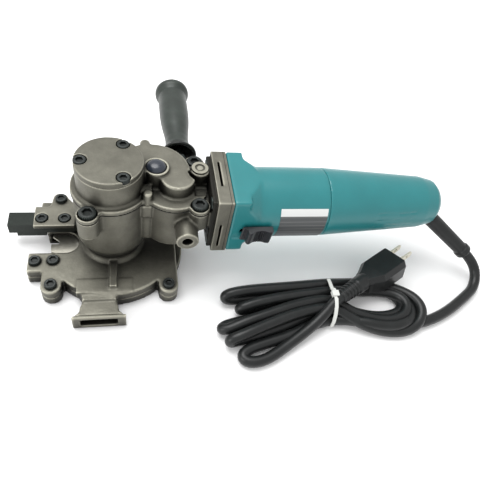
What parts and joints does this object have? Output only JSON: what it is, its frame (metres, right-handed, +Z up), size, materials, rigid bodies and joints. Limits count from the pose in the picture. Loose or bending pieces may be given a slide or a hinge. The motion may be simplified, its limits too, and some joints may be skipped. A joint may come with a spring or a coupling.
{
  "type": "rebar cutter",
  "caption": "Corded rotary cutter for reinforcing bar: a motor behind an angled gear head drives a toothed disc blade lying flat in a forked case, with a side handle and a tied cord.",
  "frame": {"origin": "on the blade's axis, at the flat underside of the blade case", "axes": "+Z up along the blade spindle, +X towards the rear of the motor, -Y towards the slide switch side, +Y towards the side handle"},
  "size_m": [0.4587, 0.289, 0.1168],
  "materials": {
    "casting": "satin",
    "cap_metal": "satin",
    "black_oxide": "satin",
    "steel": "satin",
    "gear_steel": "satin",
    "blade_steel": "satin",
    "guide_black": "satin",
    "teal": "satin",
    "grip_rubber": "matte",
    "black_plastic": "matte",
    "button_blue": "gloss",
    "cord_black": "satin",
    "tie_white": "matte",
    "nickel": "polished",
    "copper": "satin",
    "carbon": "matte",
    "fibre": "matte",
    "lamination": "satin",
    "brass": "satin",
    "seal_rubber": "matte",
    "label": "satin"
  },
  "bodies": {
    "tool": {"bracket_screws": "black_oxide", "brush_frame": "black_plastic", "brush_holders": "brass", "brush_springs": "steel", "cable_tie": "tie_white", "cap_screws": "black_oxide", "carbon_brushes": "carbon", "case_bolts": "black_oxide", "case_gasket": "fibre", "cord_guard": "cord_black", "cord_hank": "cord_black", "cover_bolts": "black_oxide", "field_coils": "copper", "field_core": "lamination", "flange_plate": "casting", "flange_screws": "black_oxide", "front_motor_bearing": "steel", "gear_cover": "casting", "gear_housing": "casting", "guide_bar": "guide_black", "guide_bracket": "casting", "handle_grip": "grip_rubber", "handle_stud": "black_oxide", "lock_spring": "steel", "lower_blade_cover": "casting", "lower_layshaft_bearing": "steel", "lower_spindle_bearing": "steel", "motor_housing": "teal", "oil_plug": "cap_metal", "plug_body": "cord_black", "plug_prongs": "nickel", "power_cord": "cord_black", "prong_screws": "black_oxide", "rating_label": "label", "rear_cover": "teal", "rear_motor_bearing": "steel", "spindle_cap": "cap_metal", "spindle_seal": "seal_rubber", "switch_body": "black_plastic", "upper_layshaft_bearing": "steel", "upper_spindle_bearing": "steel", "wear_strip": "guide_black"},
    "blade_spindle": {"spindle": "steel", "spindle_gear": "gear_steel", "saw_blade": "blade_steel", "inner_blade_flange": "steel", "outer_blade_flange": "steel", "blade_bolt": "black_oxide"},
    "layshaft": {"layshaft": "steel", "layshaft_pinion": "gear_steel", "bevel_gear": "gear_steel"},
    "armature": {"armature_shaft": "steel", "bevel_pinion": "gear_steel", "armature_core": "lamination", "armature_winding": "copper", "commutator": "copper", "cooling_fan": "black_plastic"},
    "lock_button": {"lock_button": "button_blue", "lock_pin": "steel"},
    "switch_slide": {"switch_slide": "black_plastic"}
  },
  "joints": [
    {"name": "blade_spin", "type": "hinge", "parent": "tool", "child": "blade_spindle", "pos_m": [0, 0, 0.05], "axis": [0, 0, 1], "continuous": true},
    {"name": "layshaft_spin", "type": "hinge", "parent": "tool", "child": "layshaft", "pos_m": [0.03625, 0, 0.05], "axis": [0, 0, 1], "continuous": true},
    {"name": "armature_spin", "type": "hinge", "parent": "tool", "child": "armature", "pos_m": [0.1, 0, 0.0694], "axis": [1, 0, 0], "continuous": true},
    {"name": "lock_press", "type": "slide", "parent": "tool", "child": "lock_button", "axis": [0, 0, -1], "range_m": [0, 0.0035], "stiffness_N_per_m": 700, "springref_m": -0.002, "deforming": ["lock_spring"]},
    {"name": "switch_slide", "type": "slide", "parent": "tool", "child": "switch_slide", "axis": [-1, 0, 0], "range_m": [0, 0.006]}
  ],
  "couplings": [
    {"joint": "layshaft_spin", "follows": "armature_spin", "ratio": -0.33333},
    {"joint": "blade_spin", "follows": "armature_spin", "ratio": 0.12698}
  ]
}
